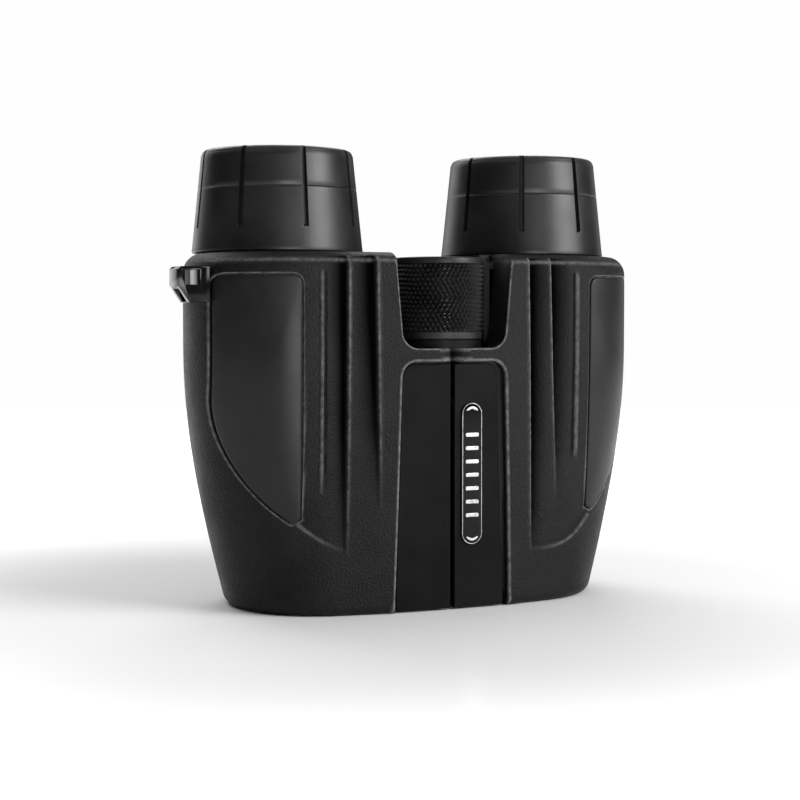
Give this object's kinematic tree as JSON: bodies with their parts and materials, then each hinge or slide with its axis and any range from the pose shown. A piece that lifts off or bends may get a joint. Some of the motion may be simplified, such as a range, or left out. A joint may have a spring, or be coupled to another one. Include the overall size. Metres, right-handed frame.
{
  "type": "compact binoculars",
  "caption": "Compact reverse-Porro binoculars in ribbed rubber armour, with a central hinge, a knurled focus knob and slotted rubber eyecups.",
  "frame": {"origin": "where the hinge axis meets the surface that the binoculars stand on, at the centre of the hinge's foot cap", "axes": "+Z along the optical axes towards the eyepieces, +X towards the right half, +Y towards the back of the casing, away from the centre panels"},
  "size_m": [0.1207, 0.0528, 0.11],
  "materials": {
    "rubber_armour": "fine-grained moulded rubber, matt black",
    "casing_plastic": "moulded black plastic",
    "panel_plastic": "smooth satin charcoal inlay",
    "spine_plastic": "smooth satin black",
    "gloss_plastic": "gloss black",
    "plated_steel": "plated steel",
    "spring_steel": "bright spring steel",
    "prism_glass": "ground optical glass",
    "coated_glass": "coated lens glass",
    "eyecup_rubber": "smooth satin rubber",
    "washer_plastic": "black acetal",
    "grip_rubber": "knurled rubber",
    "silver_trim": "bright metal foil"
  },
  "bodies": {
    "left_half": {"left_armour": "rubber_armour", "left_housing": "casing_plastic", "left_side_panel": "panel_plastic", "left_centre_panel": "spine_plastic", "left_objective_bezel": "gloss_plastic", "left_prism_plate": "plated_steel", "left_upper_prism": "prism_glass", "left_lower_prism": "prism_glass", "left_upper_prism_clip": "spring_steel", "left_lower_prism_clip": "spring_steel", "left_ocular_barrel": "casing_plastic", "left_field_lens": "coated_glass", "left_eye_lens": "coated_glass", "left_eye_lens_ring": "casing_plastic", "left_eyecup": "eyecup_rubber", "left_eyecup_base": "casing_plastic", "left_casing_screws": "spring_steel", "hinge_pin": "plated_steel", "hinge_foot_cap": "gloss_plastic", "thrust_washer": "washer_plastic", "strap_lug": "gloss_plastic"},
    "right_half": {"right_armour": "rubber_armour", "right_housing": "casing_plastic", "right_side_panel": "panel_plastic", "right_centre_panel": "spine_plastic", "right_objective_bezel": "gloss_plastic", "right_prism_plate": "plated_steel", "right_upper_prism": "prism_glass", "right_lower_prism": "prism_glass", "right_upper_prism_clip": "spring_steel", "right_lower_prism_clip": "spring_steel", "right_eyecup_base": "casing_plastic", "right_casing_screws": "spring_steel", "badge_plate": "gloss_plastic", "badge_bars": "silver_trim"},
    "focus_knob": {"focus_screw": "plated_steel", "focus_knob_core": "casing_plastic", "focus_knob_grip": "grip_rubber", "focus_knob_cap": "gloss_plastic"},
    "left_carriage": {"left_objective_cell": "casing_plastic", "left_crown_lens": "coated_glass", "left_flint_lens": "coated_glass", "left_objective_ring": "casing_plastic", "left_focus_arm": "plated_steel"},
    "right_carriage": {"right_objective_cell": "casing_plastic", "right_crown_lens": "coated_glass", "right_flint_lens": "coated_glass", "right_objective_ring": "casing_plastic", "right_focus_arm": "plated_steel"},
    "diopter_cup": {"right_eyecup": "eyecup_rubber"},
    "right_ocular": {"right_ocular_barrel": "casing_plastic", "right_field_lens": "coated_glass", "right_eye_lens": "coated_glass", "right_eye_lens_ring": "casing_plastic"}
  },
  "joints": [
    {"name": "ipd_hinge", "type": "hinge", "parent": "left_half", "child": "right_half", "pos_m": [0, 0, 0], "axis": [0, 0, 1], "range_deg": [0, 30]},
    {"name": "focus_turn", "type": "hinge", "parent": "left_half", "child": "focus_knob", "pos_m": [0, 0, 0.064], "axis": [0, 0, 1], "range_deg": [-225, 225]},
    {"name": "left_focus_slide", "type": "slide", "parent": "left_half", "child": "left_carriage", "axis": [0, 0, 1], "range_m": [-0.0025, 0.0025]},
    {"name": "right_focus_slide", "type": "slide", "parent": "right_half", "child": "right_carriage", "axis": [0, 0, 1], "range_m": [-0.0026, 0.0026]},
    {"name": "diopter_turn", "type": "hinge", "parent": "right_half", "child": "diopter_cup", "pos_m": [0.0335, 0.021, 0.09], "axis": [0, 0, 1], "range_deg": [-60, 60]},
    {"name": "diopter_slide", "type": "slide", "parent": "right_half", "child": "right_ocular", "axis": [0, 0, 1], "range_m": [-0.0011, 0.0011]}
  ],
  "couplings": [
    {"joint": "focus_turn", "follows": "left_focus_slide", "rad_per_m": 1538.5},
    {"joint": "right_focus_slide", "follows": "left_focus_slide", "ratio": 1},
    {"joint": "diopter_turn", "follows": "diopter_slide", "rad_per_m": 909.09}
  ]
}
